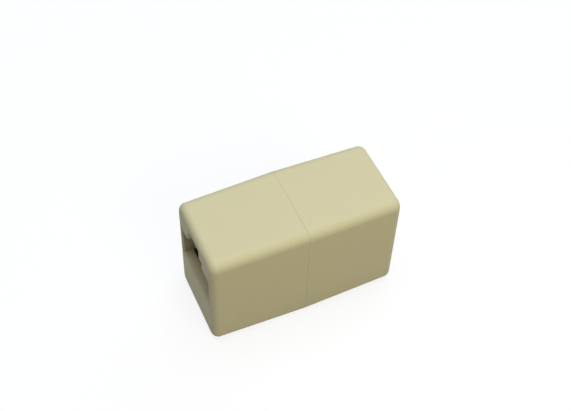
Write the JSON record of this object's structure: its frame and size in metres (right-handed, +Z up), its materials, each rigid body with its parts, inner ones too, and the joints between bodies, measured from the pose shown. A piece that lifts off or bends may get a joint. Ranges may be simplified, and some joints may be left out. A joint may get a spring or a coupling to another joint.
{
  "type": "rj45 inline coupler",
  "caption": "Box-shaped ivory inline coupler in two moulded halves, with an 8P8C jack in each end for joining two network patch leads.",
  "frame": {"origin": "middle of the base, at the bottom of the bounding box, under the joint between the two halves", "axes": "+X along the body towards the right port's mouth, +Y across, +Z up towards the latch side of both ports"},
  "size_m": [0.034, 0.0158, 0.0218],
  "materials": {
    "shell_plastic": "ivory ABS, finely spark-textured, satin",
    "carrier_plastic": "black glass-filled PBT, smooth",
    "board_laminate": "green solder-masked epoxy laminate",
    "gold_plate": "gold-plated phosphor bronze strip, stamped and formed"
  },
  "bodies": {
    "root": {"circuit_board": "board_laminate", "contact_left_1": "gold_plate", "contact_left_2": "gold_plate", "contact_left_3": "gold_plate", "contact_left_4": "gold_plate", "contact_left_5": "gold_plate", "contact_left_6": "gold_plate", "contact_left_7": "gold_plate", "contact_left_8": "gold_plate", "contact_right_1": "gold_plate", "contact_right_2": "gold_plate", "contact_right_3": "gold_plate", "contact_right_4": "gold_plate", "contact_right_5": "gold_plate", "contact_right_6": "gold_plate", "contact_right_7": "gold_plate", "contact_right_8": "gold_plate", "left_carrier": "carrier_plastic", "left_shell": "shell_plastic", "right_carrier": "carrier_plastic", "right_shell": "shell_plastic"}
  },
  "joints": []
}
